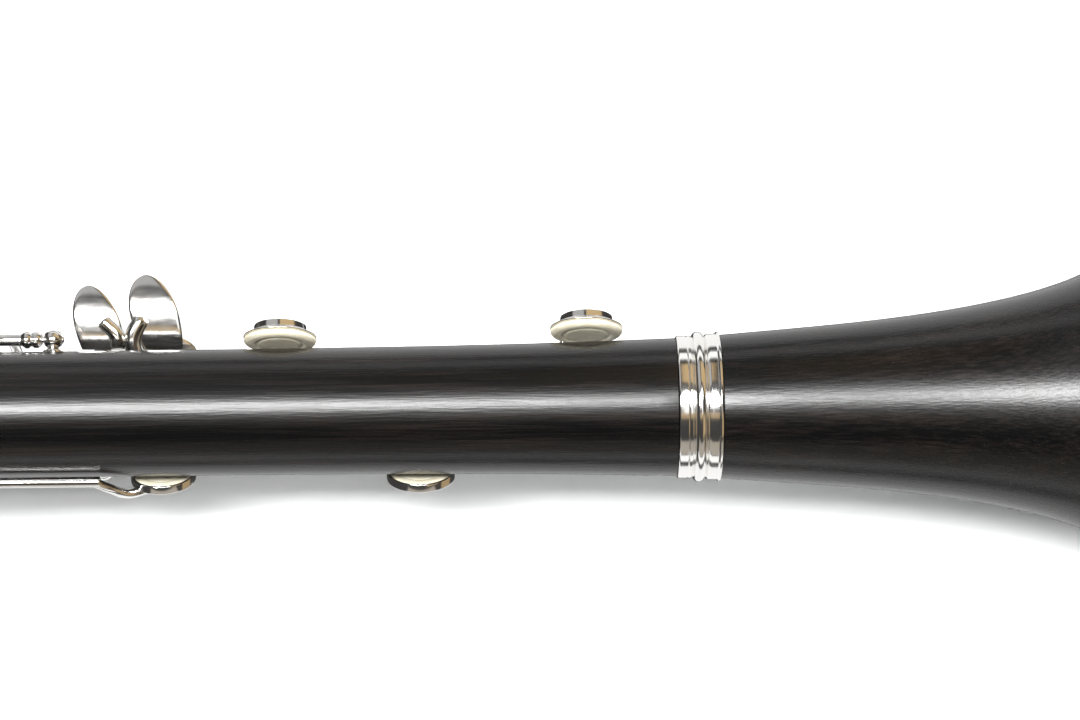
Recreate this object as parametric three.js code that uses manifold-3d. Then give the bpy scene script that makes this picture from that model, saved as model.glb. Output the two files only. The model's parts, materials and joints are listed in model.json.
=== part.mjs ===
// A Boehm-system soprano clarinet, standing on its bell.
// Millimetres, +Z up the bore from the bell's rim to the mouthpiece's tip, origin at the rim's centre.
// Directions round the bore are angles in degrees from the front, where the finger holes are (-Y):
// plus is the player's left (+X), minus is the player's right, 180 is the thumb side (+Y).
import * as THREE from "three";
import { mergeVertices } from "three/addons/utils/BufferGeometryUtils.js";
import Module from "manifold-3d";

const wasm = await Module();
wasm.setup();

// ---- driving dimensions ----
const BELL_LENGTH = 96.8; // wood below the socket ring
const SOCKET_RING = 10.2; // band, bead and band between bell and lower joint
const LOWER_LENGTH = 231;
const UPPER_LENGTH = 191;
const BARREL_LENGTH = 66;
const MOUTHPIECE_LENGTH = 73; // the part that shows above the barrel
const BORE = 7.4;
const TENON = 11.2; // radius of a tenon
const TENON_LENGTH = 17;
const GAP = 0.3; // between pieces that touch

const TUBE = 1.5; // hinge tube on a key
const TUBE_BORE = 1.05;
const ROD = 0.7; // steel hinge rod inside the tube
const BALL = 2.4; // post head
const POST_REACH = 3; // from a tube's end to the centre of its post
const HINGE = 17.8; // radius of the hinge lines
const PAD_PROUD = 1.5; // how far the leather stands out of a stepped cup
const CUP_WALL = 0.8; // round the pad of a straight-walled cup
const PLATE = 1; // thickness of a little-finger plate

const LOWER_Z = BELL_LENGTH + SOCKET_RING;
const UPPER_Z = LOWER_Z + LOWER_LENGTH;
const BARREL_Z = UPPER_Z + UPPER_LENGTH;
const MOUTHPIECE_Z = BARREL_Z + BARREL_LENGTH;

const bellRadius = (down) => 16.7 + 0.075 * down + 5 * (down / 80) ** 3.5 + 5 * (down / 96.8) ** 14;
const lowerRadius = (z) => 14.6 + 1.45 * Math.exp(-((z / 38) ** 1.1));
const UPPER_RADIUS = 14.1;
const upperRadius = () => UPPER_RADIUS;

// ---- materials ----
const finish = (color, roughness, metalness) =>
  new THREE.MeshStandardMaterial({ color, roughness, metalness });
const grenadilla = finish(0x1b1718, 0.42, 0);
const silver = finish(0xd8d9d6, 0.12, 1);
const steel = finish(0x9a9da0, 0.25, 1);
const leather = finish(0xe9dfbf, 0.75, 0);
const cork = finish(0xb98a58, 0.9, 0);
const ebonite = finish(0x0c0c0d, 0.15, 0);
const cane = finish(0xdcc07a, 0.6, 0);

// ---- solids ----
const radians = (degrees) => (degrees * Math.PI) / 180;
const outward = (phi) => new THREE.Vector3(Math.sin(radians(phi)), -Math.cos(radians(phi)), 0);
const at = (phi, rho, z) => outward(phi).multiplyScalar(rho).setZ(z);

// A closed three.js geometry as a manifold solid, and back.
function solid(geometry) {
  const bare = new THREE.BufferGeometry();
  bare.setAttribute("position", geometry.getAttribute("position"));
  bare.setIndex(geometry.index);
  const merged = mergeVertices(bare, 1e-4);
  const made = new wasm.Manifold(
    new wasm.Mesh({
      numProp: 3,
      vertProperties: new Float32Array(merged.attributes.position.array),
      triVerts: new Uint32Array(merged.index.array),
    }),
  );
  return made;
}

function geometryOf(made) {
  const mesh = made.getMesh();
  const geometry = new THREE.BufferGeometry();
  geometry.setAttribute("position", new THREE.BufferAttribute(mesh.vertProperties, 3));
  geometry.setIndex(new THREE.BufferAttribute(mesh.triVerts, 1));
  geometry.computeVertexNormals();
  return geometry;
}

const join = (solids) => solids.reduce((whole, next) => whole.add(next));
const cut = (whole, solids) => solids.reduce((rest, next) => rest.subtract(next), whole);
const points2d = (profile) => profile.map(([r, z]) => new THREE.Vector2(r, z));

// A ring of [radius, height] corners turned about the bore, given upwards on the outside.
function turned(profile, segments = 16) {
  const closed = points2d([...profile, profile[0]]);
  return new THREE.LatheGeometry(closed, segments).rotateX(Math.PI / 2);
}

// A geometry made about +Y, turned so that +Y points outward at phi and its y is the distance from the bore.
function radial(geometry, phi, z) {
  const out = outward(phi);
  const up = new THREE.Vector3(0, 0, 1);
  const basis = new THREE.Matrix4().makeBasis(up, out, up.clone().cross(out));
  return geometry.applyMatrix4(basis.setPosition(0, 0, z));
}

const turnedOut = (profile, phi, z, segments = 16) =>
  solid(radial(new THREE.LatheGeometry(points2d(profile), segments), phi, z));

const disc = (radius, from, to, phi, z, segments = 12) =>
  solid(radial(
    new THREE.CylinderGeometry(radius, radius, to - from, segments).translate(0, (from + to) / 2, 0),
    phi, z,
  ));

// A round bar along a hinge line. "across" lines run round the bore, the others along it.
function bar(line, overrun, radius, segments = 6) {
  const { phi, rho = HINGE, from, to, across } = line;
  const geometry = new THREE.CylinderGeometry(radius, radius, to - from + 2 * overrun, segments);
  if (!across) {
    const centre = at(phi, rho, (from + to) / 2);
    return solid(geometry.rotateX(Math.PI / 2).translate(centre.x, centre.y, centre.z));
  }
  return solid(radial(geometry.rotateX(Math.PI / 2).translate(0, rho, 0), phi, across));
}

// A closed skin over rings of points that all have the same count.
function loft(rings) {
  const count = rings[0].length;
  const index = [];
  for (let ring = 0; ring + 1 < rings.length; ring += 1) {
    for (let side = 0; side < count; side += 1) {
      const a = ring * count + side;
      const b = ring * count + ((side + 1) % count);
      index.push(a, b, b + count, a, b + count, a + count);
    }
  }
  const last = (rings.length - 1) * count;
  for (let side = 1; side + 1 < count; side += 1) {
    index.push(0, side + 1, side, last, last + side, last + side + 1);
  }
  const geometry = new THREE.BufferGeometry();
  const positions = rings.flat().flatMap((p) => [p.x, p.y, p.z]);
  geometry.setAttribute("position", new THREE.Float32BufferAttribute(positions, 3));
  geometry.setIndex(index);
  const made = solid(geometry);
  if (made.volume() >= 0) return made;
  geometry.setIndex(index.reverse());
  return solid(geometry);
}

// A bent key arm through points: four-sided, wide across its path and thin along the radius.
function armThrough(points, width = 2.6, thickness = 1.8, steps = 4) {
  const curve = new THREE.CatmullRomCurve3(points);
  const rings = curve.getPoints(steps).map((point, i) => {
    const along = curve.getTangent(i / steps);
    const out = new THREE.Vector3(point.x, point.y, 0).normalize();
    const across = along.clone().cross(out).normalize();
    const proud = across.clone().cross(along).normalize();
    return [45, 135, 225, 315].map((turn) =>
      point
        .clone()
        .addScaledVector(across, (width / 1.5) * Math.cos(radians(turn)))
        .addScaledVector(proud, (thickness / 1.5) * Math.sin(radians(turn))),
    );
  });
  return loft(rings);
}

const bent = (...stops) => stops.map((stop) => new THREE.Vector3(...stop));
const arm = (stops, width, thickness, steps) =>
  armThrough(stops.map(([phi, rho, z]) => at(phi, rho, z)), width, thickness, steps);

// A curved leaf for a little finger, on the player's right. It arches over a line parallel to the bore at
// "apex", [distance to the right, depth to the front]. Its middle leans up the bore as it goes out.
const LEAF_BEND = 26;
const LEAF_ROWS = 6;
function leaf({ apex, root, tip, widest, z, lean, halfWidth }) {
  const rings = [];
  for (let row = 0; row <= LEAF_ROWS; row += 1) {
    const out = root + (tip - root) * Math.sin(radians((90 * row) / LEAF_ROWS));
    const beyond = out > widest ? (out - widest) / (tip - widest) : (widest - out) / 14;
    const half = Math.max(0.8, halfWidth * Math.sqrt(Math.max(0, 1 - beyond ** 2)));
    const middle = z + lean * (out - root);
    const angle = Math.asin((out - apex[0]) / LEAF_BEND);
    const place = (radius, height) => new THREE.Vector3(
      -(apex[0] + radius * Math.sin(angle)), radius * Math.cos(angle) - LEAF_BEND - apex[1], height);
    rings.push([
      place(LEAF_BEND, middle - half), place(LEAF_BEND, middle + half),
      place(LEAF_BEND - PLATE, middle + half), place(LEAF_BEND - PLATE, middle - half),
    ]);
  }
  return loft(rings);
}

// A flat oval touch: half-lengths along the bore and across it.
function oval(phi, rho, z, along, across, thickness = 1.3) {
  const plate = new THREE.CylinderGeometry(1, 1, thickness, 8);
  return solid(radial(plate.scale(along, 1, across).translate(0, rho, 0), phi, z));
}

const RING_OUTER = 7.4;
const RING_INNER = 5.9;
const RING_HALF = 0.7; // half the thickness of a finger ring
function fingerRing(phi, rho, z) {
  const [low, high] = [rho - RING_HALF, rho + RING_HALF];
  const corners = [
    [RING_INNER, low], [RING_OUTER, low], [RING_OUTER, high], [RING_INNER, high], [RING_INNER, low],
  ];
  return turnedOut(corners, phi, z, 11);
}

// ---- cups and pads; "face" is the distance of the pad's face from the bore ----
const steppedCup = ({ phi, z, face, radius }) => turnedOut([
  [0, face + PAD_PROUD + GAP], [radius, face + PAD_PROUD + GAP], [radius, face + PAD_PROUD + 0.7],
  [radius * 0.73, face + 3], [radius * 0.71, face + 4.8], [0, face + 4.8],
], phi, z);
const steppedPad = ({ phi, z, face, radius }) => turnedOut([
  [0, face], [radius - 1.4, face], [radius - 0.5, face + 0.6], [radius - 0.2, face + 1.4],
  [radius - 0.4, face + PAD_PROUD], [0, face + PAD_PROUD],
], phi, z);
const straightCup = ({ phi, z, face, radius }) => turnedOut([
  [0, face + 1.5], [radius - CUP_WALL, face + 1.5], [radius - CUP_WALL, face], [radius, face],
  [radius, face + 2], [radius * 0.6, face + 2.8], [0, face + 2.9],
], phi, z);
const straightPad = ({ phi, z, face, radius }) => turnedOut([
  [0, face], [radius - 1.9, face], [radius - CUP_WALL - GAP, face + 0.5],
  [radius - CUP_WALL - GAP, face + 1.5 - GAP], [0, face + 1.5 - GAP],
], phi, z);
const smallCup = ({ phi, z, face, radius }) => turnedOut([
  [0, face], [radius - 0.6, face], [radius, face + 0.9], [radius, face + 1.9],
  [radius * 0.6, face + 3.2], [0, face + 3.2],
], phi, z, 8);

// ---- the model ----
const model = new THREE.Group();

function section(z) {
  const group = new THREE.Group();
  group.position.z = z;
  model.add(group);
  return group;
}

function piece(parent, name, geometry, material) {
  const mesh = new THREE.Mesh(geometry, material);
  mesh.name = name;
  parent.add(mesh);
}

// A key is one soldered piece, drilled through along its hinge line.
function key(parent, name, line, solids) {
  const blank = join([bar(line, 0, TUBE), ...solids]);
  piece(parent, name, geometryOf(blank.subtract(bar(line, 30, TUBE_BORE, 5))), silver);
}

// A hinge rod held in two posts that stand on wood whose radius at height z is footAt(z).
function post(phi, rho, z, foot) {
  const ball = new THREE.SphereGeometry(BALL, 6, 4).translate(0, rho, 0);
  return solid(radial(ball, phi, z)).add(disc(1.3, foot + GAP, rho, phi, z, 5));
}

function rod(parent, name, line, footAt) {
  const { phi, rho = HINGE, from, to, across } = line;
  const shaft = bar(line, POST_REACH, ROD, 5);
  if (!across) {
    const ends = [from - POST_REACH, to + POST_REACH];
    const posts = ends.map((z) => post(phi, rho, z, footAt(z)));
    piece(parent, name, geometryOf(join([shaft, ...posts])), steel);
    return;
  }
  const saddle = [from - POST_REACH, to + POST_REACH].map((side) => {
    const turn = (Math.atan2(side, rho) * 180) / Math.PI;
    return post(phi + turn, Math.hypot(rho, side), across, footAt(across));
  });
  piece(parent, name, geometryOf(join([shaft, ...saddle])), steel);
}

// A tone hole; a counterbore whose rim stands at "seat" surrounds it where a pad closes it.
const hole = (phi, z, radius) => disc(radius, 3, 30, phi, z, 8);
function seatCut({ phi, z, radius, seat }) {
  const bowl = disc(radius + 0.5, seat - 0.6, 30, phi, z, 14);
  const rim = disc(radius * 0.8, seat - 1, seat, phi, z, 14);
  return bowl.subtract(rim);
}

// ---- bell ----
const bell = section(0);
const RIM_BAND = 3.2; // metal band round the rim, let into the wood
const BAND_SEAT = 34.5;
const BELL_ROWS = 7;
const bellOutside = [];
for (let row = BELL_ROWS; row >= 0; row -= 1) {
  const down = (BELL_LENGTH - RIM_BAND - GAP) * Math.sqrt(row / BELL_ROWS);
  bellOutside.push([bellRadius(down), BELL_LENGTH - down]);
}
const SOCKET_FLOOR = LOWER_Z - TENON_LENGTH - 1;
const bellInside = [
  [11, SOCKET_FLOOR], [11.6, 78], [13.3, 56], [16.6, 36], [21.6, 18], [26.5, 7], [31.5, 0],
];
piece(bell, "bell", turned([
  [BAND_SEAT, 0], [BAND_SEAT, RIM_BAND + GAP], ...bellOutside, [14.6, BELL_LENGTH],
  [14.6, LOWER_Z - 1.2], [TENON + 2 * GAP + 0.6, LOWER_Z - 1.2], [TENON + 2 * GAP + 0.6, SOCKET_FLOOR],
  ...bellInside,
]), grenadilla);
piece(bell, "bell_rim_ring", turned([
  [BAND_SEAT + GAP, 0], [39, 0], [39.5, 1.2], [38.6, 2.6], [37, RIM_BAND], [BAND_SEAT + GAP, RIM_BAND],
], 24), silver);
const bead = [-70, -20, 20, 70].map((turn) => [
  16.35 + 1.25 * Math.cos(radians(turn)), LOWER_Z - 5.2 + 1.5 * Math.sin(radians(turn)),
]);
piece(bell, "bell_socket_ring", turned([
  [14.6 + GAP, BELL_LENGTH + GAP], [17.3, BELL_LENGTH + GAP], [17.3, BELL_LENGTH + 0.8],
  [16.7, BELL_LENGTH + 3.3], ...bead, [16.5, LOWER_Z - 3], [16.45, LOWER_Z - GAP],
  [14.6 + GAP, LOWER_Z - GAP],
], 22), silver);

// ---- lower joint ----
const lower = section(LOWER_Z);
const LOW_E = { phi: -73, z: 20.4, face: 17.6, radius: 8.6 };
const LOW_F = { phi: 66, z: 59.7, face: 15.5, radius: 8 };
const LOW_F_SHARP = { phi: -73, z: 92.3, face: 16.2, radius: 8.6 };
const LEFT_SIDE = { phi: 64, z: 120.3, face: 15.5, radius: 7.6 };
const LOWER_RINGS = [155, 181, 204]; // heights of the three finger holes
const RING_SPACE = 16.5; // radius of a finger ring
const CHIMNEY = 15.4; // top of a finger hole's raised edge

const LOWER_SOCKET = [12.6, LOWER_LENGTH - TENON_LENGTH - 1];
const lowerOutside = [0, 12, 30, 60].map((z) => [lowerRadius(z), z]);
const lowerTube = solid(turned([
  [TENON, -TENON_LENGTH], [TENON, -TENON_LENGTH + 2], [TENON, -GAP * 2], ...lowerOutside,
  [14.5, LOWER_LENGTH - 6], [13.9, LOWER_LENGTH - 6], [13.9, LOWER_LENGTH],
  [LOWER_SOCKET[0], LOWER_LENGTH], LOWER_SOCKET, [BORE, LOWER_SOCKET[1]], [BORE, 60], [10.4, -TENON_LENGTH],
]));
const lowerSeats = [
  { ...LOW_E, seat: 15.3 }, { ...LOW_F, seat: 13.9 }, { ...LOW_F_SHARP, seat: 14.1 },
  { ...LEFT_SIDE, seat: 13.9 },
];
const lowerHoles = [
  ...lowerSeats.flatMap((cup) => [seatCut(cup), hole(cup.phi, cup.z, cup.radius * 0.62)]),
  ...LOWER_RINGS.map((z) => hole(0, z, 3.8)),
];
const chimneys = (heights, phi) => heights.map((z) => disc(5.1, 11, CHIMNEY, phi, z, 10));
const lowerBody = join([lowerTube, ...chimneys(LOWER_RINGS, 0)]);
piece(lower, "lower_joint", geometryOf(cut(lowerBody, lowerHoles)), grenadilla);
piece(lower, "lower_tenon_cork", turned([
  [TENON + GAP, -TENON_LENGTH + 2], [TENON + 0.6, -TENON_LENGTH + 2], [TENON + 0.6, -3], [TENON + GAP, -3],
], 14), cork);
piece(lower, "lower_socket_ring", turned([
  [13.9 + GAP, LOWER_LENGTH - 6 + GAP], [15.1, LOWER_LENGTH - 6 + GAP], [15.4, LOWER_LENGTH - 3],
  [15.1, LOWER_LENGTH], [13.9 + GAP, LOWER_LENGTH],
], 20), silver);

const lowE = { phi: -38, from: 24, to: 130 };
key(lower, "low_e_key", lowE, [
  steppedCup(LOW_E),
  arm([[-38, HINGE, 27], [-46, 21.6, 25], [-58, 23.6, 22], [-70, 22.4, 21]]),
  leaf({ apex: [22.7, 13.5], root: 14.8, tip: 32.8, widest: 23, z: 121.2, lean: 0.22, halfWidth: 5.8 }),
  armThrough(
    bent([-11, -14, 126.4], [-15.2, -13.2, 128], [-18.4, -12.8, 127.9], [-22.4, -13.2, 125.8]), 3.4, 2,
  ),
  arm([[-38, HINGE, 122], [-18, 21.2, 126], [0, 22.6, 127]]),
]);
rod(lower, "low_e_rod", lowE, lowerRadius);
piece(lower, "low_e_pad", geometryOf(steppedPad(LOW_E)), leather);

const lowFLever = { phi: -14, from: 131, to: 141 };
key(lower, "low_f_lever", lowFLever, [
  leaf({ apex: [21, 13.5], root: 15, tip: 30.4, widest: 20, z: 135.2, lean: 0.235, halfWidth: 5.6 }),
  armThrough(bent([-4.3, -17.3, 136], [-10, -18.3, 136], [-15.8, -15.2, 135.6]), 3.4, 2),
  armThrough(bent([-15.4, -13.6, 131.8], [-18.4, -12.9, 132], [-21.9, -13.1, 135.2]), 3.2, 2),
  arm([[-14, HINGE, 135], [0, 18.6, 135.5], [9, 18.2, 136]]),
]);
rod(lower, "low_f_lever_rod", lowFLever, lowerRadius);

const lowF = { phi: 26, from: 62, to: 137 };
key(lower, "low_f_key", lowF, [
  straightCup(LOW_F),
  arm([[26, HINGE, 64], [42, 19.4, 62], [58, 18.2, 60]]),
  arm([[26, HINGE, 135], [16, 20.6, 136], [7, 20.9, 136]]),
]);
rod(lower, "low_f_rod", lowF, lowerRadius);
piece(lower, "low_f_pad", geometryOf(straightPad(LOW_F)), leather);

const lowFSharp = { phi: -12, from: 86, to: 114 };
key(lower, "low_f_sharp_key", lowFSharp, [
  steppedCup(LOW_F_SHARP),
  arm([[-12, HINGE, 92], [-28, 21, 92], [-48, 21.4, 92], [-66, 20.6, 92]]),
  oval(-36, 24, 119, 5.2, 4.5),
  arm([[-12, HINGE, 108], [-22, 21.6, 111.5], [-34, 23.6, 117]]),
]);
rod(lower, "low_f_sharp_rod", lowFSharp, lowerRadius);
piece(lower, "low_f_sharp_pad", geometryOf(steppedPad(LOW_F_SHARP)), leather);

const leftSide = { phi: 120, from: 175, to: 212 };
key(lower, "left_side_key", leftSide, [
  straightCup(LEFT_SIDE),
  arm([[120, HINGE, 181], [111, 17.4, 178.5], [107, 16.6, 174], [109, 16.5, 165]], 2.4, 2.4),
  arm([[109, 16.5, 166], [109, 16.5, 134]], 2.4, 2.4, 1),
  arm([[109, 16.5, 135.5], [96, 17.8, 131.5], [80, 19.2, 127.5], [66, 18.6, 121]], 2.4, 2.2),
  arm([[120, HINGE, 205], [98, 21, 216], [78, 22.4, 232]]),
  oval(78, 22.6, 235, 7, 3.2),
]);
rod(lower, "left_side_rod", leftSide, lowerRadius);
piece(lower, "left_side_pad", geometryOf(straightPad(LEFT_SIDE)), leather);

const leftLever = { phi: 50, from: 138, to: 216 };
key(lower, "left_e_lever", leftLever, [
  arm([[50, HINGE, 140], [34, 22.4, 138], [16, 22.6, 130], [2, 20.2, 126.5]], 2.6, 1.6, 7),
  arm([[50, HINGE, 205], [53, 21.8, 214], [55, 22, 230]]),
  oval(56, 22.4, 235, 7, 2.6),
]);
rod(lower, "left_e_lever_rod", leftLever, lowerRadius);

const lowerRing = { phi: -78, from: 148.2, to: 218 };
const toRing = ({ phi }, rho, z) => arm([[phi, HINGE, z], [phi * 0.66, rho + 1.4, z], [-23, rho + 0.9, z]]);
key(lower, "lower_ring_key", lowerRing, [
  ...LOWER_RINGS.flatMap((z) => [fingerRing(0, RING_SPACE, z), toRing(lowerRing, RING_SPACE, z)]),
  arm([[-78, HINGE, 208], [-56, 19, 215], [-44, 18.2, 225], [-44, 18.2, 237]]),
]);
rod(lower, "lower_ring_rod", lowerRing, lowerRadius);

const lowerSide = { phi: -98, from: 163, to: 175 };
key(lower, "lower_side_key", lowerSide, [
  smallCup({ phi: -42, z: 168, face: 15.2, radius: 3.8 }),
  arm([[-98, HINGE, 169], [-76, 21.8, 168.5], [-56, 21, 168], [-42, 18, 168]], 2.6, 1.8, 7),
  arm([[-98, HINGE, 169], [-108, 19.6, 169], [-118, 20.4, 169]]),
  oval(-120, 20.6, 169, 7, 3.4),
]);
rod(lower, "lower_side_rod", lowerSide, lowerRadius);

// ---- thumb rest, on the thumb side ----
const REST_Z = 188;
const plateArc = (inner, outer, half, from, to) => {
  const corners = [];
  for (let turn = -half; turn <= half; turn += half / 2) corners.push([outer, 180 + turn]);
  for (let turn = half; turn >= -half; turn -= half / 2) corners.push([inner, 180 + turn]);
  return loft([from, to].map((z) => corners.map(([rho, phi]) => at(phi, rho, z))));
};
const restBody = join([
  plateArc(14.8, 16.6, 24, REST_Z - 16, REST_Z + 16),
  plateArc(16, 34, 12, REST_Z - 4, REST_Z - 1.4),
]);
piece(lower, "thumb_rest", geometryOf(restBody.subtract(disc(1.3, 10, 20, 180, REST_Z + 9, 8))), silver);
piece(lower, "thumb_rest_screw", geometryOf(join([
  disc(2.6, 16.9, 18.4, 180, REST_Z + 9, 12), disc(1, 14.8, 17.5, 180, REST_Z + 9, 8),
])), steel);

// ---- upper joint ----
const upper = section(UPPER_Z);
const UPPER_RINGS = [35, 58];
const FIRST_RING = 84;
const THUMB_HOLE = 92;
const C_SHARP = { phi: 24, z: 68, face: 14.9, radius: 4.6 };
const THROAT_A = { phi: 0, z: 138, face: 14.9, radius: 4.2 };
const THROAT_G_SHARP = { phi: 72, z: 122, face: 14.9, radius: 4.2 };
const REGISTER = { phi: 180, z: 156, face: 14.9, radius: 3.6 };
const THUMB_VENT = { phi: 150, z: 118, face: 14.9, radius: 4.2 };
const FIRST_VENT = { phi: -26, z: 104, face: 14.9, radius: 4.2 };
const TRILLS = [0, 1, 2, 3].map((i) => ({
  cup: { phi: -58 - 17 * i, z: 128 + 13 * i, face: 14.9, radius: 4.4 },
  line: { phi: -84 - 17 * i, rho: 17.4, from: 24 + 12 * i, to: 120 + 13 * i },
}));
const vents = [
  C_SHARP, THROAT_A, THROAT_G_SHARP, REGISTER, THUMB_VENT, FIRST_VENT, ...TRILLS.map((t) => t.cup),
];
const upperTube = solid(turned([
  [TENON + 0.9, -TENON_LENGTH + 1], [TENON + 0.9, 0], [UPPER_RADIUS, GAP], [UPPER_RADIUS, UPPER_LENGTH - 1],
  [13.6, UPPER_LENGTH - GAP], [TENON, UPPER_LENGTH - GAP], [TENON, UPPER_LENGTH + TENON_LENGTH - 2],
  [BORE, UPPER_LENGTH + TENON_LENGTH - 2], [BORE, -TENON_LENGTH + 1],
]));
piece(upper, "upper_joint", geometryOf(cut(
  join([upperTube, ...chimneys([...UPPER_RINGS, FIRST_RING], 0), ...chimneys([THUMB_HOLE], 180)]),
  [
    ...[...UPPER_RINGS, FIRST_RING].map((z) => hole(0, z, 3.6)), hole(180, THUMB_HOLE, 3.6),
    ...vents.map((cup) => hole(cup.phi, cup.z, 2.4)),
  ],
)), grenadilla);

const upperRing = { phi: -60, from: 17, to: 78 };
key(upper, "upper_ring_key", upperRing, [
  ...UPPER_RINGS.flatMap((z) => [fingerRing(0, RING_SPACE, z), toRing(upperRing, RING_SPACE, z)]),
  arm([[-60, HINGE, 26], [-47, 19.8, 18], [-44, 20.3, 8], [-44, 20.3, -3]]),
]);
const firstRing = { phi: -60, from: 78.6, to: 108 };
key(upper, "first_ring_key", firstRing, [
  fingerRing(0, RING_SPACE, FIRST_RING), toRing(firstRing, RING_SPACE, FIRST_RING),
  smallCup(FIRST_VENT), arm([[-60, HINGE, 104], [-44, 18.6, 104], [-30, 17.4, 104]]),
]);
rod(upper, "upper_ring_rod", { phi: -60, from: 17, to: 108 }, upperRadius);

const thumbRing = { phi: 128, from: 80, to: 122 };
key(upper, "thumb_ring_key", thumbRing, [
  fingerRing(180, RING_SPACE, THUMB_HOLE),
  arm([[128, HINGE, THUMB_HOLE], [142, 17.4, THUMB_HOLE], [158, RING_SPACE, THUMB_HOLE]]),
  smallCup(THUMB_VENT), arm([[128, HINGE, 118], [138, 18.4, 118], [147, 17.4, 118]]),
]);
rod(upper, "thumb_ring_rod", thumbRing, upperRadius);

const register = { phi: 180, across: 128, from: -3, to: 3 };
key(upper, "register_key", register, [
  smallCup(REGISTER), arm([[180, HINGE, 128], [180, 19.4, 142], [180, 17.6, 155]], 3.2),
  arm([[180, HINGE, 128], [180, 20, 118], [180, 20.6, 106]], 3.2), oval(180, 21, 104, 6, 4),
]);
rod(upper, "register_rod", register, upperRadius);

const throatA = { phi: 0, across: 116, from: -3, to: 3 };
key(upper, "throat_a_key", throatA, [
  smallCup(THROAT_A), arm([[0, HINGE, 116], [0, 19.2, 127], [0, 17.6, 137]], 3),
  arm([[0, HINGE, 116], [0, 19.8, 108], [0, 20.4, 101]], 3), oval(0, 20.8, 99, 5, 4),
]);
rod(upper, "throat_a_rod", throatA, upperRadius);

const throatG = { phi: 42, from: 100, to: 124 };
key(upper, "throat_g_sharp_key", throatG, [
  smallCup(THROAT_G_SHARP), arm([[42, HINGE, 121], [56, 18.6, 121.5], [68, 17.6, 122]]),
  arm([[42, HINGE, 106], [32, 20.2, 101], [24, 20.6, 95]]), oval(23, 20.8, 92, 5, 3.2),
]);
rod(upper, "throat_g_sharp_rod", throatG, upperRadius);

const cSharp = { phi: 50, from: 16, to: 72 };
key(upper, "c_sharp_key", cSharp, [
  smallCup(C_SHARP), arm([[50, HINGE, 69], [38, 18.6, 68.5], [26, 17.6, 68]]),
  arm([[50, HINGE, 26], [60, 20, 22], [72, 21.6, 19]]), oval(74, 21.8, 17, 5, 5),
]);
rod(upper, "c_sharp_rod", cSharp, upperRadius);

TRILLS.forEach(({ cup, line }, i) => {
  const { phi, rho, from, to } = line;
  const name = `trill_key_${i + 1}`;
  const press = from - 14;
  key(upper, name, line, [
    smallCup(cup), arm([[phi, rho, to - 6], [phi + 17, 18.6, to - 3], [cup.phi, 17.6, cup.z]]),
    arm([[phi, rho, from + 8], [phi - 2, 21.4, from + 1], [phi - 8, 21.6, press]]),
    oval(phi - 9, 21.6, press, 6.5, 2.4),
  ]);
  rod(upper, `${name}_rod`, line, upperRadius);
});

// ---- barrel ----
const barrel = section(BARREL_Z);
const BARREL_RING = 5;
const RING_SEAT = 14.2;
const UPPER_RING_Z = BARREL_LENGTH - BARREL_RING;
const barrelOutside = [
  [15.4, BARREL_RING], [16.6, 20], [16.9, BARREL_LENGTH / 2], [16.6, 46], [15.4, UPPER_RING_Z],
];
const [SOCKET_TOP, SOCKET_DEPTH] = [BARREL_LENGTH - 0.4, 16];
const socket = TENON + GAP;
piece(barrel, "barrel", turned([
  [RING_SEAT, 0.1], [RING_SEAT, BARREL_RING], ...barrelOutside,
  [RING_SEAT, UPPER_RING_Z], [RING_SEAT, SOCKET_TOP], [socket, SOCKET_TOP],
  [socket, BARREL_LENGTH - SOCKET_DEPTH - 1], [BORE, BARREL_LENGTH - SOCKET_DEPTH - 1],
  [BORE, SOCKET_DEPTH], [socket, SOCKET_DEPTH], [socket, 0.1],
]), grenadilla);
const [ringInner, ringTop] = [RING_SEAT + GAP, BARREL_RING - GAP];
const barrelRing = [[ringInner, GAP], [16, GAP], [16.3, 2.5], [16, ringTop], [ringInner, ringTop]];
piece(barrel, "barrel_lower_ring", turned(barrelRing), silver);
piece(barrel, "barrel_upper_ring", turned(barrelRing.map(([r, z]) => [r, z + UPPER_RING_Z])), silver);

// ---- mouthpiece, reed and ligature ----
const mouthpiece = section(MOUTHPIECE_Z);
const TIP = MOUTHPIECE_LENGTH;
const TABLE = 8.6; // the flat for the reed lies this far behind the axis
const slab = (points, width) => {
  const shape = new THREE.Shape(points.map(([y, z]) => new THREE.Vector2(y, z)));
  const geometry = new THREE.ExtrudeGeometry(shape, { depth: width, bevelEnabled: false });
  return solid(geometry.applyMatrix4(new THREE.Matrix4().makeBasis(
    new THREE.Vector3(0, 1, 0), new THREE.Vector3(0, 0, 1), new THREE.Vector3(1, 0, 0),
  )).translate(-width / 2, 0, 0));
};
const blank = solid(new THREE.LatheGeometry(points2d([
  [0, -15], [TENON, -15], [TENON, 0], [14, 0], [14.2, 4], [12.6, 6], [11, TIP], [0, TIP],
]), 18).rotateX(Math.PI / 2));
const beak = slab([[-20, 34], [-13, 34], [TABLE - 1.6, TIP + 0.1], [-20, TIP + 1]], 40);
const table = slab([[TABLE, 10], [20, 10], [20, TIP + 1], [TABLE - 1, TIP + 1], [TABLE, 40]], 40);
const chamber = join([
  solid(new THREE.CylinderGeometry(6.6, BORE, 50, 20).rotateX(Math.PI / 2).translate(0, 0, 5)),
  slab([[-4.5, 24], [TABLE + 1, 36], [TABLE + 1, TIP - 3], [TABLE - 3.4, TIP - 6]], 11),
]);
piece(mouthpiece, "mouthpiece", geometryOf(cut(blank, [beak, table, chamber])), ebonite);
piece(mouthpiece, "reed", geometryOf(slab([
  [TABLE + GAP, 11], [TABLE + 2.8, 11], [TABLE + 2.7, 36],
  [TABLE - 0.4, TIP - 0.4], [TABLE - 0.7, TIP - 0.4], [TABLE + GAP, 40],
], 11.6)), cane);

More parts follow.
